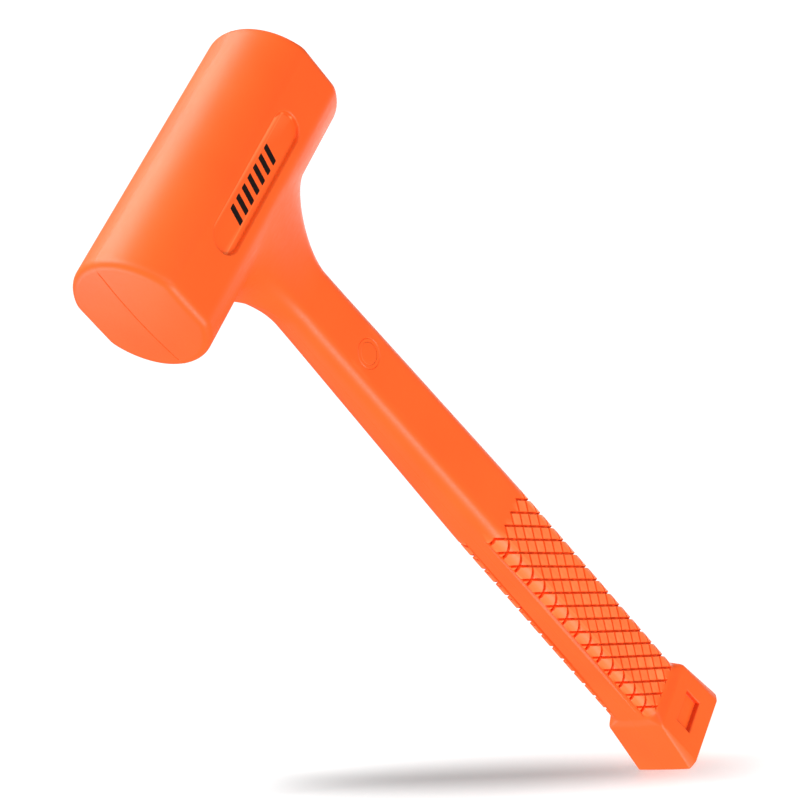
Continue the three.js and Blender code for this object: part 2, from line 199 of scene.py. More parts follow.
INK_BARS = 7
INK_BAR = 2.5  # width of a bar
INK_SLANT = 1.9
INK_HALF_LENGTH = 16.6
INK_HALF_HEIGHT = 3.4
INK_MIDDLE_X = -1.0
INK_THICKNESS = 0.04
INK_CORNER = 0.35
INK_CORNER_STEPS = 4

SHOT_LAYERS = sorted(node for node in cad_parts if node.startswith("shot_layer_"))
SHOT_SEED = 7
BALL_SIZE = 4.5
BALL_STRAY = 0.05
TOP_GAPS = 0.35  # share of the top layer's places that are empty

# colours: linear red, green, blue and alpha
WHITE = (1, 1, 1, 1)
PAPER = (0.8, 0.8, 0.8, 1)
ORANGE_DEEP = (0.955, 0.108, 0.0105, 1)
ORANGE_PALE = (0.985, 0.122, 0.0135, 1)
# the next colour is a painted highlight: lighter orange along outer edges, where light catches them
ORANGE_EDGE_HIGHLIGHT = (0.99, 0.24, 0.07, 1)  # along outer edges
# the next colour is painted shade: darker orange in the bottoms of grooves and along inner corners
ORANGE_PAINTED_SHADE = (0.75, 0.05, 0.005, 1)  # in the bottoms of grooves and along inner corners
INK_THICK = (0.004, 0.003, 0.003, 1)
INK_THIN = (0.012, 0.006, 0.004, 1)
ZINC_CLOUDY = (0.42, 0.42, 0.4, 1)
ZINC_CLEAR = (0.64, 0.65, 0.66, 1)
MILL_SCALE = (0.11, 0.115, 0.125, 1)
RUST = (0.21, 0.095, 0.045, 1)
WELD_BLUE = (0.17, 0.2, 0.27, 1)
WELD_SMOKE = (0.3, 0.24, 0.18, 1)
SHOT_DARK = (0.22, 0.22, 0.23, 1)
SHOT_PALE = (0.48, 0.48, 0.49, 1)

# ---- view and lights, metres and degrees

CAMERA_LENS = 106.76  # millimetres, like the sensor's width
CAMERA_SENSOR = 36
CAMERA_TARGET = (0, -0.00485, 0.21548)
CAMERA_DISTANCE = 0.8759
CAMERA_AZIMUTH = -40.0
CAMERA_ELEVATION = 31.81
CAMERA_ROLL = -40.89
CAMERA_CLIP = (0.05, 50)

FLOOR_REACH = 8.0
FLOOR_DROP = 0.0002  # under the end of the butt
LIGHTS_AIM = (0, 0, 0.2)
ROOM_LIGHT = 0.3
PAPER_GLOW = 0.22
PAPER_SUN = 2.7
PAPER_SUN_ANGLE = 33  # the shadow's softness, degrees
CARD_PLACE = (-0.0204, 0.09, 0.026)  # the card casts the soft shadow beside the butt
CARD_HALF_WIDTH = 0.007
CARD_HALF_LENGTH = 0.15
CARD_TURN = 1.2
CARD_STEPS = 16
BOX_SIZE = 1.0  # width of a round soft box
BOX_DISTANCE = 1.6
# name: (azimuth from +X, rise of its direction, brightness)
SOFT_BOXES = {
    "front_low": (228, -0.5, 0.92),
    "front": (262, 0.3, 0.3),
    "overhead": (245, 2.2, 0.16),
    "top": (80, 3.2, 0.98),
    "back_right": (44, 0.95, 0.48),
    "back_left": (139, 0.06, 0.66),
    "right_low": (15, -0.75, 0.22),
}

# ---- flat domains and skins

ONLY_INSIDE = 1  # delaunay_2d_cdt keeps only the triangles inside the outer chains
SAME_POINT = 1e-4  # distance at which two points are one
WELD_REACH = 4e-3  # distance at which the halves and patches are welded


class Domain:
    """Points and lines in a flat domain, triangulated and then mapped into space."""

    def __init__(self):
        self.points = []
        self.edges = []

    def chain(self, points, closed=False):
        first = len(self.points)
        self.dots(points)
        count = len(self.points) - first
        self.edges.extend((first + i, first + i + 1) for i in range(count - 1))
        if closed:
            self.edges.append((first + count - 1, first))

    def dots(self, points):
        self.points.extend((float(a), float(b)) for a, b in points)

    def triangles(self, keep=None):
        """The triangles, or only those whose middles pass the test keep."""
        points = [Vector(p) for p in self.points]
        verts, _, faces, _, _, _ = delaunay_2d_cdt(points, self.edges, [], ONLY_INSIDE, SAME_POINT)
        flat = np.array([tuple(v) for v in verts], float)
        tris = np.array([tuple(f) for f in faces], int)
        if keep is not None:
            tris = tris[keep(flat[tris].mean(axis=1))]
        return flat, tris


class Skin:
    """Faces of one half of the body, in millimetres."""

    def __init__(self):
        self.points = []
        self.faces = []

    def add(self, points, faces):
        first = len(self.points)
        self.points.extend(tuple(p) for p in points)
        self.faces.extend(tuple(int(i) + first for i in face) for face in faces)

    def add_grid(self, rows):
        """Rows of points, all equally long."""
        width = len(rows[0])
        firsts = [row * width + i for row in range(len(rows) - 1) for i in range(width - 1)]
        quads = [(i, i + 1, i + width + 1, i + width) for i in firsts]
        self.add(np.concatenate(rows), quads)

    def mirrored_mesh(self, name, hollow):
        """The half and its mirror image as one welded mesh in metres, round a hollow's mesh."""
        points = np.array(self.points)
        points[np.abs(points[:, 1]) < SAME_POINT, 1] = 0
        mirror = points * (1, -1, 1)
        count = len(points)
        faces = self.faces + [tuple(i + count for i in reversed(f)) for f in self.faces]
        mesh = bpy.data.meshes.new(name)
        mesh.from_pydata([Vector(p) * MM for p in np.concatenate([points, mirror])], [], faces)
        work = bmesh.new()
        work.from_mesh(mesh)
        bmesh.ops.remove_doubles(work, verts=work.verts, dist=WELD_REACH * MM)
        bmesh.ops.dissolve_degenerate(work, edges=work.edges, dist=SAME_POINT * MM)
        bmesh.ops.recalc_face_normals(work, faces=work.faces)
        work.from_mesh(hollow)
        work.to_mesh(mesh)
        work.free()
        return mesh


def new_object(name, data):
    thing = bpy.data.objects.new(name, data)
    bpy.context.scene.collection.objects.link(thing)
    return thing


def profile_value(profile, distance):
    """Height along a profile given as [(place, height)], straight between its points."""
    places, heights = zip(*sorted(profile))
    return np.interp(distance, places, heights)


def seam_rise(distance):
    """How far the surface stands out at a distance from the parting line."""
    return SEAM_RISE * (1 - np.clip(distance / SEAM_OFFSETS[-1], 0, 1))


def both_ways(distances):
    """The distances and their negatives, sorted, each once."""
    return sorted({sign * distance for distance in distances for sign in (-1, 1)})


def full_turn(sides):
    return np.linspace(0, 2 * math.pi, sides + 1)[:-1]


def quarter_turn(steps):
    return np.radians(np.linspace(0, 90, steps + 1))


def bend(t, start, corner, end):
    """The place at share t of a quadratic curve from start, towards corner, to end."""
    return (1 - t) ** 2 * start + 2 * t * (1 - t) * corner + t**2 * end


def bend_rows(start, corner, end, steps):
    return [bend(t, start, corner, end) for t in np.linspace(0, 1, steps + 1)]


# ---- handle and grip


def along_handle(z, values):
    """Straight stretches between the handle's stations, with the bends at the stations rounded."""
    shifts = np.linspace(-HANDLE_BEND, HANDLE_BEND, BEND_SAMPLES)
    return np.mean([np.interp(z + shift, HANDLE_HEIGHTS, values) for shift in shifts], axis=0)


def handle_half_x(z):
    return along_handle(z, HANDLE_HALF_X)


def handle_half_y(z):
    return along_handle(z, HANDLE_HALF_Y)


# nominal lengths along the section: half a narrow side, a corner, the broad side
CORNER_START = 6.6
CORNER_LENGTH = 6.9
BROAD_LENGTH = 19.2
SIDE_COLUMNS = [2.2, 4.4]
CORNER_STEPS = 6
BROAD_STEPS = 12
BROAD_START = CORNER_START + CORNER_LENGTH
BROAD_END = BROAD_START + BROAD_LENGTH
SECTION_LENGTH = 2 * BROAD_START + BROAD_LENGTH


def section_columns():
    """Places along the section that every ring of the handle, the ledge and the neck shares."""
    corner = [CORNER_START + CORNER_LENGTH * i / CORNER_STEPS for i in range(CORNER_STEPS + 1)]
    broad = [BROAD_START + BROAD_LENGTH * i / BROAD_STEPS for i in range(1, BROAD_STEPS // 2)]
    half = [*SEAM_OFFSETS, *SIDE_COLUMNS, *corner, *broad]
    return np.array(half + [SECTION_LENGTH / 2] + [SECTION_LENGTH - s for s in reversed(half)])


def section_point(s, half_x, half_y):
    """Point (x, y) at place s along a rounded rectangle's half y <= 0, from +X round to -X."""
    s = np.asarray(s, float)
    mirrored = s > SECTION_LENGTH / 2
    t = np.where(mirrored, SECTION_LENGTH - s, s)
    side = np.clip(t / CORNER_START, 0, 1)
    turn = np.clip((t - CORNER_START) / CORNER_LENGTH, 0, 1) * math.pi / 2
    broad = np.clip((t - BROAD_START) / BROAD_LENGTH, 0, 0.5) * 2
    x = (half_x - HANDLE_CORNER_X) * (1 - broad) + HANDLE_CORNER_X * np.cos(turn)
    y = -(half_y - HANDLE_CORNER_Y) * side - HANDLE_CORNER_Y * np.sin(turn)
    return np.where(mirrored, -x, x), y


def section_place(x, half_x):
    """Place along the section of a point of the broad side or its corners, from its x."""
    inner = half_x - HANDLE_CORNER_X
    turn = np.arccos(np.clip((np.abs(x) - inner) / HANDLE_CORNER_X, 0, 1))
    place = CORNER_START + CORNER_LENGTH * turn / (math.pi / 2)
    place = np.where(np.abs(x) <= inner, BROAD_START + BROAD_LENGTH * (1 - np.abs(x) / inner) / 2, place)
    return np.where(x < 0, SECTION_LENGTH - place, place)


GRIP_SLOPE = GRIP_PITCH_Z / GRIP_PITCH_X
GRIP_STRETCH = math.hypot(1, GRIP_SLOPE)
GRIP_LOW_Z = GRIP_TOP_Z - GRIP_ROWS * GRIP_PITCH_Z


def groove_depth(x, z):
    """Depth of the crossed grooves. Their zigzag edges close the pads at both ends."""
    from_peak = np.abs((x / GRIP_PITCH_X + 0.5) % 1 - 0.5) * GRIP_PITCH_X
    top_edge = GRIP_TOP_Z - GRIP_SLOPE * from_peak
    low_edge = GRIP_LOW_Z + GRIP_SLOPE * from_peak
    nearest = np.full(np.shape(x), np.inf)
    for lean in (-1, 1):
        lines = (z - GRIP_TOP_Z + lean * GRIP_SLOPE * x) / GRIP_PITCH_Z
        off_line = np.abs(lines - np.round(lines)) * GRIP_PITCH_Z
        nearest = np.minimum(nearest, off_line)
    nearest = np.where(z > top_edge, z - top_edge, nearest)
    nearest = np.where(z < low_edge, low_edge - z, nearest)
    return GRIP_DEPTH * profile_value(GROOVE_PROFILE, nearest / GRIP_STRETCH)


def handle_points(s, z):
    """The handle's outside at places s along the section and heights z, with all that is cut into it."""
    half_x, half_y = handle_half_x(z), handle_half_y(z)
    x, y = section_point(s, half_x, half_y)
    near_seam = np.minimum(s, SECTION_LENGTH - s)
    along_corner = np.clip(near_seam - CORNER_START, 0, CORNER_LENGTH)
    run_out = np.clip(along_corner / GRIP_RUN_OUT, 0, 1)
    run_out = run_out * np.clip((z - HANDLE_LOW_Z) / GRIP_LOW_RUN_OUT, 0, 1)
    turn = along_corner / CORNER_LENGTH * math.pi / 2
    off_ring = np.abs(np.hypot(x, z - LOCATOR_Z) - LOCATOR_RING)
    depth = groove_depth(x, z) * run_out + profile_value(LOCATOR_RING_PROFILE, off_ring)
    x = x - np.sign(x) * depth * np.cos(turn)
    y = y + depth * np.sin(turn)
    x = x + np.sign(x) * seam_rise(near_seam)
    return np.stack([x, np.minimum(y, 0), z], axis=1)


def handle_ring(z):
    columns = section_columns()
    return handle_points(columns, np.full(len(columns), z))


def groove_lines(domain):
    """The edge lines of all grooves, from far enough outside the grip to cover it."""
    offsets = both_ways(distance for distance, _ in GROOVE_PROFILE)
    reach = GRIP_ROWS + 3
    for lean in (-1, 1):
        for line in range(-reach, reach + 1):
            for offset in offsets:
                groove_line(domain, line * GRIP_PITCH_X, lean, offset * GRIP_STRETCH)


def groove_line(domain, peak, lean, shift):
    """One long edge of a groove, which starts at the top of the grip over x = peak."""
    half_x = float(handle_half_x(GRIP_TOP_Z))
    far = peak + lean * (GRIP_TOP_Z + shift - HANDLE_LOW_Z - LINE_MIN) / GRIP_SLOPE
    edge = half_x - LINE_INSET
    low, high = max(min(peak, far), -edge), min(max(peak, far), edge)
    if high - low < LINE_MIN:
        return
    inner = half_x - HANDLE_CORNER_X
    bends = both_ways(inner + HANDLE_CORNER_X * math.sin(math.radians(a)) for a in LINE_BENDS)
    between = [x for x in bends if low + LINE_STEP < x < high - LINE_STEP]
    x = np.array([low, *between, high])
    z = GRIP_TOP_Z - lean * GRIP_SLOPE * (x - peak) + shift
    domain.chain(zip(section_place(x, handle_half_x(z)), z))


def disc_circles():
    """Loops of the handle's domain: the hole's edge, its supports and the witness line's edges."""
    turns = full_turn(LOCATOR_SIDES)
    supports = [LOCATOR_HOLE + distance for distance in LOCATOR_SUPPORTS]
    ring = [LOCATOR_RING + distance for distance in both_ways(d for d, _ in LOCATOR_RING_PROFILE)]
    circles = []
    for radius in supports + ring:
        x, z = radius * np.cos(turns), LOCATOR_Z + radius * np.sin(turns)
        circles.append(np.stack([section_place(x, handle_half_x(z)), z], axis=1))
    return circles


def outside_hole(places):
    half_x, half_y = handle_half_x(places[:, 1]), handle_half_y(places[:, 1])
    x, _ = section_point(places[:, 0], half_x, half_y)
    in_front = (places[:, 0] > BROAD_START) & (places[:, 0] < BROAD_END)
    hole_edge = LOCATOR_HOLE * math.cos(math.pi / LOCATOR_SIDES) - HOLE_HAIR
    return ~in_front | (np.hypot(x, places[:, 1] - LOCATOR_Z) > hole_edge)


def add_handle(skin):
    columns = section_columns()
    rows = [HANDLE_LOW_Z, *np.linspace(GRIP_TOP_Z + GRIP_MARGIN, HANDLE_HIGH_Z, HANDLE_ROWS)]
    clear = LOCATOR_RING + RING_MARGIN
    domain = Domain()
    for column in columns:
        if BROAD_START < column < BROAD_END:
            domain.chain([(column, z) for z in rows if z < LOCATOR_Z - clear])
            domain.chain([(column, z) for z in rows if z > LOCATOR_Z + clear])
        else:
            domain.chain([(column, z) for z in rows])
    for z in (HANDLE_LOW_Z, HANDLE_HIGH_Z):
        domain.chain([(column, z) for column in columns])
    groove_lines(domain)
    circles = disc_circles()
    for circle in circles:
        domain.chain(circle, closed=True)
    flat, tris = domain.triangles(outside_hole)
    skin.add(handle_points(flat[:, 0], flat[:, 1]), tris)
    add_locator_hole(skin, handle_points(circles[0][:, 0], circles[0][:, 1]))


def add_locator_hole(skin, rim):
    """The wall and the floor of the blind hole that a locator disc fills."""
    floor = rim.copy()
    floor[:, 1] = -LOCATOR_FLOOR
    skin.add_grid([np.vstack([row, row[:1]]) for row in (rim, floor)])
    count = len(rim)
    middle = np.array([[0, -LOCATOR_FLOOR, LOCATOR_Z]])
    skin.add(np.vstack([floor, middle]), [(i, (i + 1) % count, count) for i in range(count)])


# ---- ledge and butt block


def up_block(z, sizes):
    """One of the block's sizes at height z, from its sizes at the end face and at the ledge."""
    end, top = sizes
    return end + (top - end) * z / BLOCK_TOP_Z


def block_points(s, z, inset=0.0):
    """The block's section: a broad side that ends in a crease, and a rounded bevel to the narrow side."""
    half_x, half_y = up_block(z, BLOCK_HALF_X) - inset, up_block(z, BLOCK_HALF_Y) - inset
    crease = up_block(z, BLOCK_CREASE_X) - CREASE_PULL * inset
    bevel = half_x - crease
    corner = BLOCK_CORNER_SHARE * bevel + BLOCK_CORNER_START
    t = np.minimum(s, SECTION_LENGTH - s)
    side = np.clip(t / CORNER_START, 0, 1)
    turn = np.clip((t - CORNER_START) / CORNER_LENGTH, 0, 1)
    broad = np.clip((t - BROAD_START) / BROAD_LENGTH, 0, 0.5) * 2
    bend_y = half_y - bevel * math.tan(math.radians(BLOCK_CREASE_ANGLE))
    half_x = half_x - BLOCK_SIDE_CROWN * side**2
    x = bend(turn, half_x, half_x, crease) * (1 - broad)
    y = bend(turn, half_y - corner, bend_y, half_y)
    y = np.where(t < CORNER_START, (half_y - corner) * side, y)
    if inset == 0:
        x = x + seam_rise(t)
    return np.stack([np.where(s > SECTION_LENGTH / 2, -x, x), -y, np.full(len(s), z)], axis=1)


def add_ledge(skin):
    """From the handle's lower ring out over the sloping ledge and down over the block's top edge."""
    columns = section_columns()
    top = handle_ring(HANDLE_LOW_Z)
    foot = top - (0, 0, HANDLE_LOW_Z - LEDGE_TOP_Z)
    edge = block_points(columns, BLOCK_TOP_Z)
    start = foot + (edge - foot) * LEDGE_FILLET
    brink = edge - (edge - foot) * LEDGE_BRINK
    below = block_points(columns, BLOCK_TOP_Z - BLOCK_BRINK)
    fillet = bend_rows(top, foot, start, LEDGE_STEPS)
    skin.add_grid([*fillet, (start + brink) / 2, *bend_rows(brink, edge, below, LEDGE_STEPS)])


def block_rows():
    return np.linspace(BLOCK_TOP_Z - BLOCK_BRINK, BLOCK_EDGE, BLOCK_ROWS)


def add_block(skin):
    """The bevels and narrow sides, the broad side, the end face's rounded edge and the end face."""
    columns = section_columns()
    split = int(np.argmin(np.abs(columns - BROAD_START)))
    rings = [block_points(columns, z) for z in block_rows()]
    skin.add_grid([ring[: split + 1] for ring in rings])
    skin.add_grid([ring[len(columns) - split - 1 :] for ring in rings])
    add_block_front(skin, columns[split : len(columns) - split])
    edge = [rings[-1]]
    for turn in quarter_turn(BLOCK_EDGE_STEPS)[1:]:
        z, inset = BLOCK_EDGE * (1 - math.sin(turn)), BLOCK_EDGE * (1 - math.cos(turn))
        edge.append(block_points(columns, z, inset))
    skin.add_grid(edge)
    domain = Domain()
    domain.chain(edge[-1][:, :2], closed=True)
    flat, tris = domain.triangles()
    skin.add(np.column_stack([flat, np.zeros(len(flat))]), tris)


def add_block_front(skin, columns):
    """A broad side of the block, with its sunk rectangle."""
    domain = Domain()
    reach = BROAD_LENGTH / 2
    middle = SECTION_LENGTH / 2
    rows = block_rows()

    def place(x, z):
        return middle - x * reach / up_block(z, BLOCK_CREASE_X)

    for z in (rows[0], rows[-1]):
        domain.chain([(column, z) for column in columns])
    for column in (columns[0], columns[-1]):
        domain.chain([(column, z) for z in rows])
    for side in (-1, 1):
        domain.chain([(middle + side * (reach - CREASE_SUPPORT), z) for z in rows[1:-1]])
    corners = []
    for inset, _ in RECESS_PROFILE:
        x, low, high = RECESS_HALF_X - inset, RECESS_LOW_Z + inset, RECESS_HIGH_Z - inset
        around = ((x, low), (-x, low), (-x, high), (x, high))
        corners.append([(place(across, z), z) for across, z in around])
        domain.chain(corners[-1], closed=True)
    for corner in range(4):
        domain.chain([loop[corner] for loop in corners])
    flat, tris = domain.triangles()
    z = flat[:, 1]
    x = (middle - flat[:, 0]) * up_block(z, BLOCK_CREASE_X) / reach
    inside = np.minimum(RECESS_HALF_X - np.abs(x), np.minimum(z - RECESS_LOW_Z, RECESS_HIGH_Z - z))
    y = -up_block(z, BLOCK_HALF_Y) + profile_value(RECESS_PROFILE, inside)
    skin.add(np.stack([x, y, z], axis=1), tris)


# ---- barrel, faces and neck

BLEND_CENTRE_Y = HEAD_HALF_WIDTH - FLAT_BLEND_RADIUS
BLEND_CENTRE_Z = math.sqrt((HEAD_RADIUS - FLAT_BLEND_RADIUS) ** 2 - BLEND_CENTRE_Y**2)
BLEND_ANGLE = math.atan2(BLEND_CENTRE_Z, BLEND_CENTRE_Y)
ARC_LENGTH = HEAD_RADIUS * (math.pi / 2 - BLEND_ANGLE)
BLEND_LENGTH = FLAT_BLEND_RADIUS * BLEND_ANGLE
HALF_ROUND = ARC_LENGTH + BLEND_LENGTH + BLEND_CENTRE_Z  # from the top to the middle of the flat


def barrel_columns():
    """Places round half the barrel, from its highest line to its lowest, for each ring and face."""
    arc = np.linspace(0, ARC_LENGTH, ARC_STEPS + 1)[1:]
    blend = ARC_LENGTH + np.linspace(0, BLEND_LENGTH, BLEND_STEPS + 1)[1:]
    flat = [HALF_ROUND - BLEND_CENTRE_Z / 2]
    half = [*SEAM_OFFSETS, *arc, *blend, *flat]
    return np.array(half + [HALF_ROUND] + [2 * HALF_ROUND - u for u in reversed(half)])


def barrel_section(u, inset=0.0):
    """Point (y, z) of the barrel's outline at place u from its top, shrunk by inset all round."""
    u = np.asarray(u, float)
    below = u > HALF_ROUND
    t = np.where(below, 2 * HALF_ROUND - u, u)
    arc_angle = math.pi / 2 - np.clip(t, 0, ARC_LENGTH) / HEAD_RADIUS
    blend_angle = BLEND_ANGLE * (1 - np.clip((t - ARC_LENGTH) / BLEND_LENGTH, 0, 1))
    on_arc = t <= ARC_LENGTH
    radius = HEAD_RADIUS - inset
    small = FLAT_BLEND_RADIUS - inset
    y = np.where(on_arc, radius * np.cos(arc_angle), BLEND_CENTRE_Y + small * np.cos(blend_angle))
    z = np.where(on_arc, radius * np.sin(arc_angle), BLEND_CENTRE_Z + small * np.sin(blend_angle))
    on_flat = t > ARC_LENGTH + BLEND_LENGTH
    z = np.where(on_flat, HALF_ROUND - t, z)
    return -y, np.where(below, -z, z)


def crown(y, z):
    """How far a striking face bulges over its rim."""
    return CROWN_HEIGHT * np.clip(1 - (y**2 + z**2) / CROWN_RADIUS**2, 0, 1)


def barrel_points(x, u):
    y, z = barrel_section(u)
    near_seam = np.minimum(u, 2 * HALF_ROUND - u)
    z = z + np.sign(z) * seam_rise(near_seam)
    return np.stack([x, y, z + HEAD_AXIS_Z], axis=1)


def label_distance(x, z):
    """Distance outside the sunk panel's outline, negative inside it."""
    return np.hypot(np.maximum(np.abs(x) - LABEL_STRAIGHT, 0), z) - LABEL_HALF_HEIGHT


def label_outline(distance):
    """The points at a distance outside the sunk panel's outline."""
    radius = LABEL_HALF_HEIGHT + distance
    turns = np.radians(np.linspace(-90, 90, LABEL_END_STEPS + 1))
    right = [(LABEL_STRAIGHT + radius * math.cos(a), radius * math.sin(a)) for a in turns]
    return right + [(-x, -z) for x, z in right]


def foot_curve(grow=1.0):
    """The neck's foot on the barrel, one point for each section column: x, and the way up from the
    barrel's lowest line along its skin."""
    turns = math.pi * section_columns() / SECTION_LENGTH
    turns[len(turns) // 2] = math.pi / 2
    power = 2 / NECK_POWER
    cosine, sine = np.cos(turns), np.maximum(np.sin(turns), 0)
    x = NECK_REACH_X * grow * np.sign(cosine) * np.abs(cosine) ** power
    up = NECK_REACH_U * grow * sine**power
    up[[0, -1]] = 0
    return x, up


def add_barrel(skin):
    columns = barrel_columns()
    lowest = 2 * HALF_ROUND
    end = HEAD_HALF_LENGTH - FACE_EDGE_RADIUS
    support = end - EDGE_SUPPORT
    rows = (-end, -support, support, end)
    domain = Domain()
    for x in rows:
        domain.chain([(x, u) for u in columns])
    for u in columns:
        share = (lowest - u) / (NECK_REACH_U * NECK_CLEAR)
        if share >= 1:
            domain.chain([(x, u) for x in rows])
            continue
        clear = NECK_REACH_X * NECK_CLEAR * (1 - share**NECK_POWER) ** (1 / NECK_POWER)
        if u == lowest:
            clear = NECK_REACH_X
        for side in (-1, 1):
            domain.chain([(side * x, u) for x in (clear, support, end)])
    x, up = foot_curve()
    domain.chain(zip(x, lowest - up))
    x, up = foot_curve(NECK_SUPPORT)
    domain.dots(zip(x[2:-2], lowest - up[2:-2]))  # without its ends, beside the seam
    for distance, _ in LABEL_PROFILE:
        domain.chain([(x, HALF_ROUND - z) for x, z in label_outline(distance)], closed=True)
    flat, tris = domain.triangles()
    x, u = flat[:, 0], flat[:, 1]
    points = barrel_points(x, u)
    distance = label_distance(x, HALF_ROUND - u)
    on_side = np.abs(u - HALF_ROUND) < BLEND_CENTRE_Z
    points[:, 1] += np.where(on_side, profile_value(LABEL_PROFILE, distance), 0)
    skin.add(points, tris)


def face_edge_rings(side):
    """The rounded edge from the barrel to the rim of a striking face."""
    columns = barrel_columns()
    rise = seam_rise(np.minimum(columns, 2 * HALF_ROUND - columns))
    rings = []
    for turn in quarter_turn(FACE_EDGE_STEPS):
        y, z = barrel_section(columns, FACE_EDGE_RADIUS * (1 - math.cos(turn)))
        x = HEAD_HALF_LENGTH - FACE_EDGE_RADIUS * (1 - math.sin(turn)) + crown(y, z) + rise * math.sin(turn)
        z = z + np.sign(z) * rise * math.cos(turn)
        rings.append(np.stack([side * x, y, z + HEAD_AXIS_Z], axis=1))
    return rings


def add_striking_face(skin, side):
    """The rounded edge, and the crowned face, whose border takes its points from the edge's rim."""
    rings = face_edge_rings(side)
    skin.add_grid(rings)
    rim = rings[-1]
    rim_flat = rim[:, 1:] - (0, HEAD_AXIS_Z)
    domain = Domain()
    domain.chain(rim_flat, closed=True)
    for i in range(len(SEAM_OFFSETS)):
        domain.chain(np.linspace(rim_flat[i], rim_flat[-1 - i], SEAM_POINTS))
    reach = CROWN_RADIUS - FACE_SUPPORT_MARGIN
    for y in FACE_SUPPORTS:
        domain.dots([(y, z) for z in np.linspace(-reach, reach, SEAM_POINTS)])
    side_y = FACE_EDGE_RADIUS - HEAD_HALF_WIDTH + EDGE_SUPPORT
    for radius in FACE_RINGS:
        spots = [(radius * math.cos(a), radius * math.sin(a)) for a in np.radians(FACE_RING_ANGLES)]
        domain.dots([spot for spot in spots if spot[0] > side_y])
    flat, tris = domain.triangles()
    y, z = flat[:, 0], flat[:, 1]
    x = HEAD_HALF_LENGTH + crown(y, z) + profile_value(FACE_SEAM_PROFILE, np.abs(y))
    points = np.stack([side * x, y, z + HEAD_AXIS_Z], axis=1)
    off_rim = np.hypot(y[:, None] - rim_flat[None, :, 0], z[:, None] - rim_flat[None, :, 1])
    on_rim = (off_rim.min(axis=1) < SAME_POINT)[:, None]
    skin.add(np.where(on_rim, rim[off_rim.argmin(axis=1)], points), tris)


def add_neck(skin):
    """Meridians from the handle's upper ring to the foot on the barrel, tangent to both."""
    low = handle_ring(HANDLE_HIGH_Z)
    low_way = low - handle_ring(HANDLE_HIGH_Z - 1)  # the way that a millimetre of height takes
    x, up = foot_curve()
    high = barrel_points(x, 2 * HALF_ROUND - up)
    x_share = np.sign(x) * np.abs(x / NECK_REACH_X) ** (NECK_POWER - 1) / NECK_REACH_X
    up_share = (up / NECK_REACH_U) ** (NECK_POWER - 1) / NECK_REACH_U
    climb = up / HEAD_RADIUS
    high_way = np.stack([x_share, -up_share * np.cos(climb), up_share * np.sin(climb)], axis=1)
    high_way /= np.linalg.norm(high_way, axis=1)[:, None]
    rise = (high - low)[:, 2:3]
    spread = np.linalg.norm((high - low)[:, :2], axis=1)[:, None]
    bend_low = low + low_way * rise * NECK_LOW_PULL
    bend_high = high - high_way * spread * NECK_HIGH_PULL
    rows = []
    for t in np.linspace(0, 1, NECK_ROWS + 1):
        row = (1 - t) ** 3 * low + 3 * t * (1 - t) ** 2 * bend_low
        rows.append(row + 3 * t**2 * (1 - t) * bend_high + t**3 * high)
    skin.add_grid(rows)


# ---- the hollow that holds the steel insert


def lathe(profile, sides):
    """A closed solid turned about Z from [(radius, z)], whose ends lie on the axis."""
    work = bmesh.new()
    rings = []
    for radius, z in profile:
        if radius == 0:
            rings.append([work.verts.new((0, 0, z))] * sides)
        else:
            circle = [(radius * math.cos(a), radius * math.sin(a), z) for a in full_turn(sides)]
            rings.append([work.verts.new(point) for point in circle])
    for low, high in zip(rings, rings[1:]):
        for i in range(sides):
            corners = [low[i], low[(i + 1) % sides], high[(i + 1) % sides], high[i]]
            work.faces.new(list(dict.fromkeys(corners)))
    return work


def finished(work, name):
    """The mesh of a bmesh that is in millimetres."""
    bmesh.ops.scale(work, vec=(MM, MM, MM), verts=work.verts)
    bmesh.ops.recalc_face_normals(work, faces=work.faces)
    mesh = bpy.data.meshes.new(name)
    work.to_mesh(mesh)
    work.free()
    return mesh


def grown_box(node):
    low, high = node_box(node)
    return low - CLEARANCE, high + CLEARANCE


def shaft_profile():
    """The rod with its collar, the socket and the weld, from the rod's end up into the canister."""
    rod_low, rod_high = grown_box("core_rod")
    collar_low, collar_high = grown_box("core_anchor_collar")
    socket_low, socket_high = grown_box("core_socket")
    weld_low, weld_high = grown_box("core_socket_weld")
    weld_top = node_box("core_socket_weld")[1][2]
    return [
        (0, rod_low[2]),
        (rod_high[0], rod_low[2]),
        (rod_high[0], collar_low[2]),
        (collar_high[0], collar_low[2]),
        (collar_high[0], collar_high[2]),
        (rod_high[0], collar_high[2]),
        (rod_high[0], socket_low[2]),
        (socket_high[0], socket_low[2]),
        (socket_high[0], weld_low[2]),
        (weld_high[1], weld_top),
        (0, weld_top + SHAFT_OVERLAP),
    ]


def hollow_mesh():
    """The canister and the shaft that hangs from it, grown by the clearance and facing inward."""
    radius, half = TUBE_HIGH[1] + CLEARANCE, TUBE_HIGH[0] + CLEARANCE
    canister = lathe([(0, -half), (radius, -half), (radius, half), (0, half)], CANISTER_SIDES)
    lay_down = Matrix.Translation((0, 0, HEAD_AXIS_Z)) @ Matrix.Rotation(math.pi / 2, 4, "Y")
    bmesh.ops.transform(canister, matrix=lay_down, verts=canister.verts)
    solids = (canister, lathe(shaft_profile(), SHAFT_SIDES))
    pieces = [new_object("hollow", finished(work, "hollow")) for work in solids]
    union = pieces[0].modifiers.new("union", "BOOLEAN")
    union.operation = "UNION"
    union.solver = "EXACT"
    union.object = pieces[1]
    bpy.context.view_layer.update()
    evaluated = pieces[0].evaluated_get(bpy.context.evaluated_depsgraph_get())
    mesh = bpy.data.meshes.new_from_object(evaluated)
    mesh.flip_normals()
    for piece in pieces:
        bpy.data.objects.remove(piece)
    return mesh


# ---- pieces


def add_piece(name, mesh, slot, body, material, *stands_for):
    piece = new_object(name, mesh)
    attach(piece, body)
    if stands_for:
        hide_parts(*stands_for)
    mesh.materials.append(material)
    return piece


def shaded(mesh):
    """The mesh with smooth faces, apart from its sharp edges."""
    mesh.shade_smooth()
    mesh.set_sharp_from_angle(angle=math.radians(SHARP_ANGLE))
    return mesh


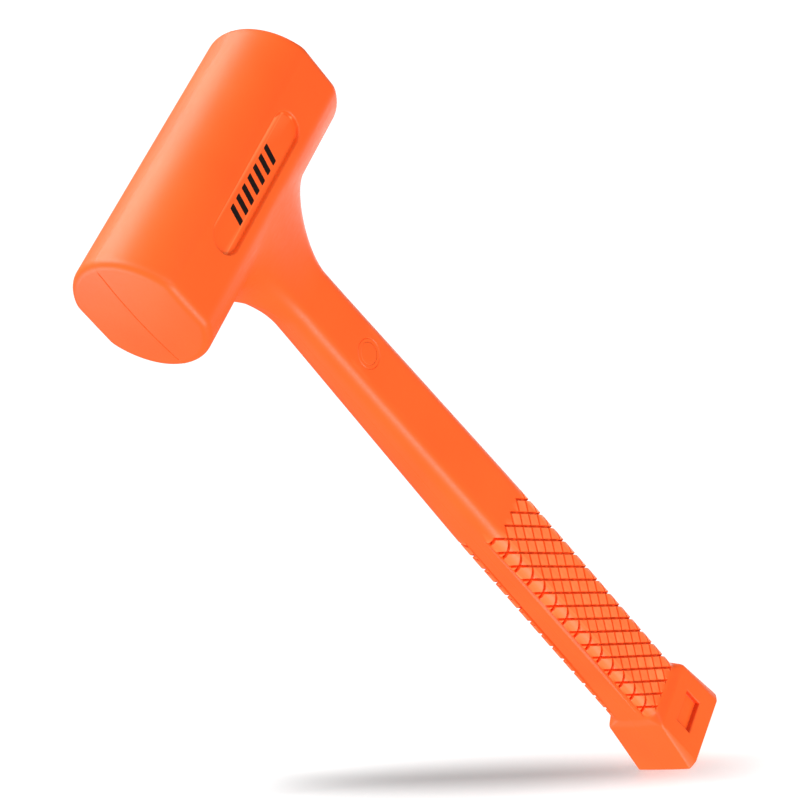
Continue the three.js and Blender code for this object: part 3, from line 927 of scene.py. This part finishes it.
def body_mesh():
    """The casting's outside, and within it the hollow for the insert."""
    skin = Skin()
    add_handle(skin)
    add_ledge(skin)
    add_block(skin)
    add_barrel(skin)
    for side in (-1, 1):
        add_striking_face(skin, side)
    add_neck(skin)
    return shaded(skin.mirrored_mesh("moulded_body", hollow_mesh()))


def add_body(material):
    shells = ("moulded_shell_left", "moulded_shell_right")
    body = add_piece("moulded_body", body_mesh(), "moulded_body", "root", material, *shells)
    normals = body.modifiers.new("even_normals", "WEIGHTED_NORMAL")
    normals.keep_sharp = True
    normals.weight = 90


def disc_mesh(side):
    """A locator disc, flush with the tapering broad side, with a small round at its rim."""
    turns = full_turn(LOCATOR_SIDES)
    rings = []
    for inset, drop in DISC_RIM:
        radius = LOCATOR_DISC - inset
        x, z = radius * np.cos(turns), LOCATOR_Z + radius * np.sin(turns)
        rings.append(np.stack([x, side * (handle_half_y(z) - drop), z], axis=1))
    inner = rings[-1].copy()
    inner[:, 1] = side * LOCATOR_END
    work = bmesh.new()
    loops = [[work.verts.new(p) for p in ring] for ring in (*rings, inner)]
    middle = work.verts.new((0, side * float(handle_half_y(LOCATOR_Z)), LOCATOR_Z))
    for i in range(LOCATOR_SIDES):
        j = (i + 1) % LOCATOR_SIDES
        work.faces.new((middle, loops[0][i], loops[0][j]))
        for near, far in zip(loops, loops[1:]):
            work.faces.new((near[i], far[i], far[j], near[j]))
    work.faces.new(loops[-1])
    return shaded(finished(work, "locator_disc"))


def add_locator_discs(material):
    for side, word in SIDES:
        plug = f"locator_plug_{word}"
        add_piece(f"locator_disc_{word}", disc_mesh(side), "moulded_body", "root", material, plug)


def ink_mesh(side):
    """Slanted bars with rounded corners, printed on the sunk panel's floor."""
    floor = HEAD_HALF_WIDTH - LABEL_PROFILE[-1][1]
    pitch = (INK_HALF_LENGTH * 2 - INK_SLANT - INK_BAR) / (INK_BARS - 1)
    low, high = HEAD_AXIS_Z - INK_HALF_HEIGHT, HEAD_AXIS_Z + INK_HALF_HEIGHT
    work = bmesh.new()
    for bar in range(INK_BARS):
        left = INK_MIDDLE_X - INK_HALF_LENGTH + bar * pitch
        right = left + INK_BAR
        outline = ((left, low), (right, low), (right + INK_SLANT, high), (left + INK_SLANT, high))
        face = work.faces.new([work.verts.new((-side * x, side * floor, z)) for x, z in outline])
        solid = bmesh.ops.extrude_face_region(work, geom=[face])["geom"]
        raised = [v for v in solid if isinstance(v, bmesh.types.BMVert)]
        bmesh.ops.translate(work, vec=(0, side * INK_THICKNESS, 0), verts=raised)
    upright = [e for e in work.edges if abs(e.verts[0].co.y - e.verts[1].co.y) > INK_THICKNESS / 2]
    bmesh.ops.bevel(
        work, geom=upright, offset=INK_CORNER, segments=INK_CORNER_STEPS, affect="EDGES", profile=0.5
    )
    return finished(work, "ink_mark")


def add_ink_marks(material):
    for side, word in SIDES:
        add_piece(f"ink_mark_{word}", ink_mesh(side), "moulded_body", "root", material)


def ball_places():
    """Centres of the loose balls: staggered layers, each ball a little off its place."""
    random.seed(SHOT_SEED)
    low, high = node_box(*SHOT_LAYERS)
    radius = BALL_SIZE / 2
    pitch = BALL_SIZE + 3 * BALL_STRAY
    row_pitch, layer_pitch = pitch * math.sqrt(3) / 2, pitch * math.sqrt(2 / 3)
    wall = HEAD_AXIS_Z - low[2] - radius
    reach = high[0] - radius
    layers = int((high[2] - low[2] - BALL_SIZE) / layer_pitch) + 1
    places = []
    for layer in range(layers):
        z = low[2] + radius + BALL_STRAY + layer * layer_pitch
        half = math.sqrt(max(wall**2 - (z - HEAD_AXIS_Z) ** 2, 0))
        rows = int(2 * half / row_pitch) + 1
        for row in range(rows):
            y = (row - (rows - 1) / 2) * row_pitch
            start = -reach + (row + layer) % 2 * pitch / 2
            for step in range(int((reach - start) / pitch) + 1):
                if layer == layers - 1 and random.random() < TOP_GAPS:
                    continue
                stray = [random.uniform(-BALL_STRAY, BALL_STRAY) for _ in range(3)]
                places.append((start + step * pitch + stray[0], y + stray[1], z + stray[2]))
    return places


def shot_mesh():
    work = bmesh.new()
    for place in ball_places():
        where = Matrix.Translation(place)
        bmesh.ops.create_icosphere(work, subdivisions=2, radius=BALL_SIZE / 2, matrix=where)
    mesh = finished(work, "shot_charge")
    mesh.shade_smooth()
    return mesh


def add_shot(material):
    add_piece("shot_charge", shot_mesh(), "shot_steel", "shot", material, *SHOT_LAYERS)


# ---- materials


def fill(tree, node, inputs):
    """Sets a node's inputs to constants, or links them to other nodes' outputs."""
    for name, value in inputs.items():
        if isinstance(value, bpy.types.NodeSocket):
            tree.links.new(value, node.inputs[name])
        else:
            node.inputs[name].default_value = value


def colour_mix(tree, factor, under, top):
    """The colour under, with top over it as far as the factor says."""
    mix = tree.nodes.new("ShaderNodeMix")
    mix.data_type = "RGBA"
    fill(tree, mix, {"Factor": factor, "A": under, "B": top})
    return mix.outputs["Result"]


class Look:
    """A material in the making. Its textures have their places on the object, in metres."""

    def __init__(self, name):
        self.material = bpy.data.materials.new(name)
        self.material.use_nodes = True
        self.tree = self.material.node_tree
        self.place = self.tree.nodes.new("ShaderNodeTexCoord").outputs["Object"]

    def node(self, kind, output, inputs):
        made = self.tree.nodes.new(kind)
        fill(self.tree, made, inputs)
        return made.outputs[output]

    def noise(self, scale, detail, stretch=(1, 1, 1)):
        """A noise texture's value. Its scale is in grains per metre."""
        place = self.node("ShaderNodeMapping", "Vector", {"Vector": self.place, "Scale": stretch})
        return self.node("ShaderNodeTexNoise", "Fac", {"Vector": place, "Scale": scale, "Detail": detail})

    def ranged(self, value, low, high, to_low=0, to_high=1):
        """The value, with the range low to high spread over the range to_low to to_high."""
        inputs = {"Value": value, "From Min": low, "From Max": high, "To Min": to_low, "To Max": to_high}
        return self.node("ShaderNodeMapRange", "Result", inputs)

    def bumped(self, height, distance, strength, **under):
        inputs = {"Height": height, "Distance": distance, "Strength": strength, **under}
        return self.node("ShaderNodeBump", "Normal", inputs)

    def finished(self, colour, roughness, normal, **rest):
        inputs = {"Base Color": colour, "Roughness": roughness, "Normal": normal, **rest}
        fill(self.tree, self.tree.nodes["Principled BSDF"], inputs)
        return self.material


def orange_plastic():
    """Satin moulded plastic: a fine mould texture, sink marks and scuffs, with a painted highlight along
    outer edges and painted shade in groove bottoms and inner corners.
    """
    look = Look("orange_plastic")
    mottle = look.ranged(look.noise(22, 2), 0.35, 0.65)
    bend_of_skin = look.node("ShaderNodeNewGeometry", "Pointiness", {})
    colour = colour_mix(look.tree, mottle, ORANGE_DEEP, ORANGE_PALE)
    # painted highlight: lighter orange where the surface bends outward, along rims, creases and pad edges
    colour = colour_mix(look.tree, look.ranged(bend_of_skin, 0.525, 0.61), colour, ORANGE_EDGE_HIGHLIGHT)
    # painted shade: darker orange where the surface bends inward, in groove bottoms and inner corners
    colour = colour_mix(look.tree, look.ranged(bend_of_skin, 0.46, 0.36), colour, ORANGE_PAINTED_SHADE)
    scuffs = look.ranged(look.noise(900, 4, stretch=(0.25, 1, 1)), 0.3, 0.7, 0.42, 0.5)
    sinks = look.bumped(look.noise(45, 1), 0.0004, 0.35)
    grain = look.bumped(look.noise(3200, 2), 0.00003, 0.5, Normal=sinks)
    return look.finished(colour, scuffs, grain, **{"Specular IOR Level": 0.35})


def black_ink():
    """Printed ink, a little thin in places."""
    look = Look("black_ink")
    thin = look.ranged(look.noise(1500, 4), 0.35, 0.7)
    colour = colour_mix(look.tree, thin, INK_THICK, INK_THIN)
    roughness = look.ranged(thin, 0, 1, 0.45, 0.6)
    return look.finished(colour, roughness, look.bumped(thin, 0.00002, 0.4), **{"Specular IOR Level": 0.15})


def drawn_steel():
    """Zinc-plated tube and caps: lengthwise drawing marks under a cloudy plating."""
    look = Look("drawn_steel")
    clear = look.ranged(look.noise(90, 4), 0.3, 0.7)
    colour = colour_mix(look.tree, clear, ZINC_CLOUDY, ZINC_CLEAR)
    marks = look.noise(1400, 3, stretch=(0.03, 1, 1))
    roughness = look.ranged(marks, 0.3, 0.7, 0.24, 0.46)
    return look.finished(colour, roughness, look.bumped(marks, 0.00004, 0.35), Metallic=1)


def rolled_steel():
    """Hot-rolled bar and tube: dark mill scale, with rust where it has flaked."""
    look = Look("rolled_steel")
    flakes = look.noise(260, 6, stretch=(1, 1, 0.35))
    colour = colour_mix(look.tree, look.ranged(flakes, 0.56, 0.64), MILL_SCALE, RUST)
    roughness = look.ranged(flakes, 0.35, 0.65, 0.4, 0.75)
    return look.finished(colour, roughness, look.bumped(flakes, 0.0001, 0.5), Metallic=0.9)


def weld_metal():
    """A weld bead: rippled, blued by heat, with brown smoke."""
    look = Look("weld_metal")
    smoke = look.noise(320, 5)
    colour = colour_mix(look.tree, look.ranged(smoke, 0.35, 0.65), WELD_BLUE, WELD_SMOKE)
    roughness = look.ranged(smoke, 0.3, 0.7, 0.32, 0.6)
    waves = {"Vector": look.place, "Scale": 260, "Distortion": 3, "Detail": 2}
    ripple = look.node("ShaderNodeTexWave", "Fac", waves)
    return look.finished(colour, roughness, look.bumped(ripple, 0.0003, 0.6), Metallic=0.95)


def shot_steel():
    """Cast steel balls: each a little lighter or darker, with a pitted skin."""
    look = Look("shot_steel")
    batch = look.ranged(look.noise(150, 0), 0.3, 0.7)
    colour = colour_mix(look.tree, batch, SHOT_DARK, SHOT_PALE)
    pits = look.noise(1800, 4)
    roughness = look.ranged(pits, 0.3, 0.7, 0.25, 0.55)
    return look.finished(colour, roughness, look.bumped(pits, 0.00006, 0.4), Metallic=1)


def finish_steel_nodes():
    """Materials for the CAD nodes of the insert, which keep their shapes."""
    finishes = (
        (drawn_steel(), ("canister_tube", "canister_cap_front", "canister_cap_rear", "core_pin")),
        (rolled_steel(), ("core_rod", "core_socket", "core_anchor_collar")),
        (weld_metal(), ("core_socket_weld",)),
    )
    for material, nodes in finishes:
        for node in nodes:
            bpy.data.objects[node].material_slots[0].material = material


plastic = orange_plastic()
add_body(plastic)
add_locator_discs(plastic)
add_ink_marks(black_ink())
add_shot(shot_steel())
finish_steel_nodes()

# ---- camera and studio


def add_camera():
    """The photo's view: back from the target by azimuth and elevation, then rolled."""
    data = bpy.data.cameras.new("camera")
    data.lens = CAMERA_LENS
    data.sensor_width = CAMERA_SENSOR
    data.clip_start, data.clip_end = CAMERA_CLIP
    camera = new_object("camera", data)
    azimuth, elevation = math.radians(CAMERA_AZIMUTH), math.radians(CAMERA_ELEVATION)
    level = math.cos(elevation)
    back = Vector((math.sin(azimuth) * level, -math.cos(azimuth) * level, math.sin(elevation)))
    camera.location = Vector(CAMERA_TARGET) + back * CAMERA_DISTANCE
    camera.rotation_mode = "QUATERNION"
    roll = Quaternion((0, 0, 1), math.radians(CAMERA_ROLL))
    camera.rotation_quaternion = (-back).to_track_quat("-Z", "Y") @ roll
    bpy.context.scene.camera = camera


def add_floor():
    """White paper that only the camera sees, with the card's soft shadow on it."""
    mesh = bpy.data.meshes.new("floor")
    corners = [(FLOOR_REACH * x, FLOOR_REACH * y, 0) for x, y in ((-1, -1), (1, -1), (1, 1), (-1, 1))]
    mesh.from_pydata(corners, [], [(0, 1, 2, 3)])
    floor = new_object("floor", mesh)
    floor.location.z = -FLOOR_DROP
    paper = bpy.data.materials.new("white_paper")
    paper.use_nodes = True
    finish = {"Base Color": PAPER, "Roughness": 0.9, "Specular IOR Level": 0}
    glow = {"Emission Color": WHITE, "Emission Strength": PAPER_GLOW}
    fill(paper.node_tree, paper.node_tree.nodes["Principled BSDF"], finish | glow)
    mesh.materials.append(paper)
    floor.visible_diffuse = floor.visible_glossy = floor.visible_shadow = False
    return floor


def add_world():
    """An even grey room, which the camera sees as white."""
    world = bpy.data.worlds.new("studio")
    world.use_nodes = True
    tree = world.node_tree
    to_camera = tree.nodes.new("ShaderNodeLightPath").outputs["Is Camera Ray"]
    room = (ROOM_LIGHT, ROOM_LIGHT, ROOM_LIGHT, 1)
    fill(tree, tree.nodes["Background"], {"Color": colour_mix(tree, to_camera, room, WHITE)})
    bpy.context.scene.world = world


def linked_collection(name, thing, state):
    """A light-linking collection that holds one object."""
    collection = bpy.data.collections.new(name)
    collection.objects.link(thing)
    collection.collection_objects[0].light_linking.link_state = state
    return collection


def link_light(light, floor, card, state):
    """INCLUDE: the light falls only on the floor, and only the card blocks it. EXCLUDE: all the rest."""
    light.light_linking.receiver_collection = linked_collection(light.name + "_lights", floor, state)
    light.light_linking.blocker_collection = linked_collection(light.name + "_shadows", card, state)


def place_light(name, data, direction):
    """A light that looks from a direction at the mallet's middle."""
    light = new_object(name, data)
    way = Vector(direction).normalized()
    light.location = Vector(LIGHTS_AIM) + way * BOX_DISTANCE
    light.rotation_mode = "QUATERNION"
    light.rotation_quaternion = (-way).to_track_quat("-Z", "Y")
    light.visible_camera = False
    return light


def add_soft_box(name, azimuth, rise, brightness, floor, card):
    """A round soft box for the mallet alone. Brightness 1 shows white paper as white."""
    data = bpy.data.lights.new(name, "AREA")
    data.shape = "DISK"
    data.size = BOX_SIZE
    data.energy = brightness * (math.pi * BOX_DISTANCE) ** 2
    turn = math.radians(azimuth)
    light = place_light(name, data, (math.cos(turn), math.sin(turn), rise))
    link_light(light, floor, card, "EXCLUDE")


def add_shadow_card():
    """A slim lens over the floor that only casts the soft shadow beside the butt."""
    mesh = bpy.data.meshes.new("shadow_card")
    shares = np.linspace(-1, 1, CARD_STEPS + 1)
    side = [(CARD_HALF_WIDTH * (1 - t * t), CARD_HALF_LENGTH * t, 0) for t in shares]
    corners = side + [(-x, y, z) for x, y, z in side[-2:0:-1]]
    mesh.from_pydata(corners, [], [range(len(corners))])
    card = new_object("shadow_card", mesh)
    card.location = CARD_PLACE
    card.rotation_euler.z = math.radians(CARD_TURN)
    card.visible_camera = card.visible_diffuse = card.visible_glossy = False
    return card


def add_paper_light(floor, card):
    """A sun for the floor alone, which only the shadow card blocks."""
    data = bpy.data.lights.new("paper_light", "SUN")
    data.energy = PAPER_SUN
    data.angle = math.radians(PAPER_SUN_ANGLE)
    light = place_light("paper_light", data, (0, 0, 1))
    link_light(light, floor, card, "INCLUDE")


add_camera()
floor = add_floor()
card = add_shadow_card()
add_world()
for box, (azimuth, rise, brightness) in SOFT_BOXES.items():
    add_soft_box(box, azimuth, rise, brightness, floor, card)
add_paper_light(floor, card)
bpy.context.scene.view_settings.view_transform = "Standard"
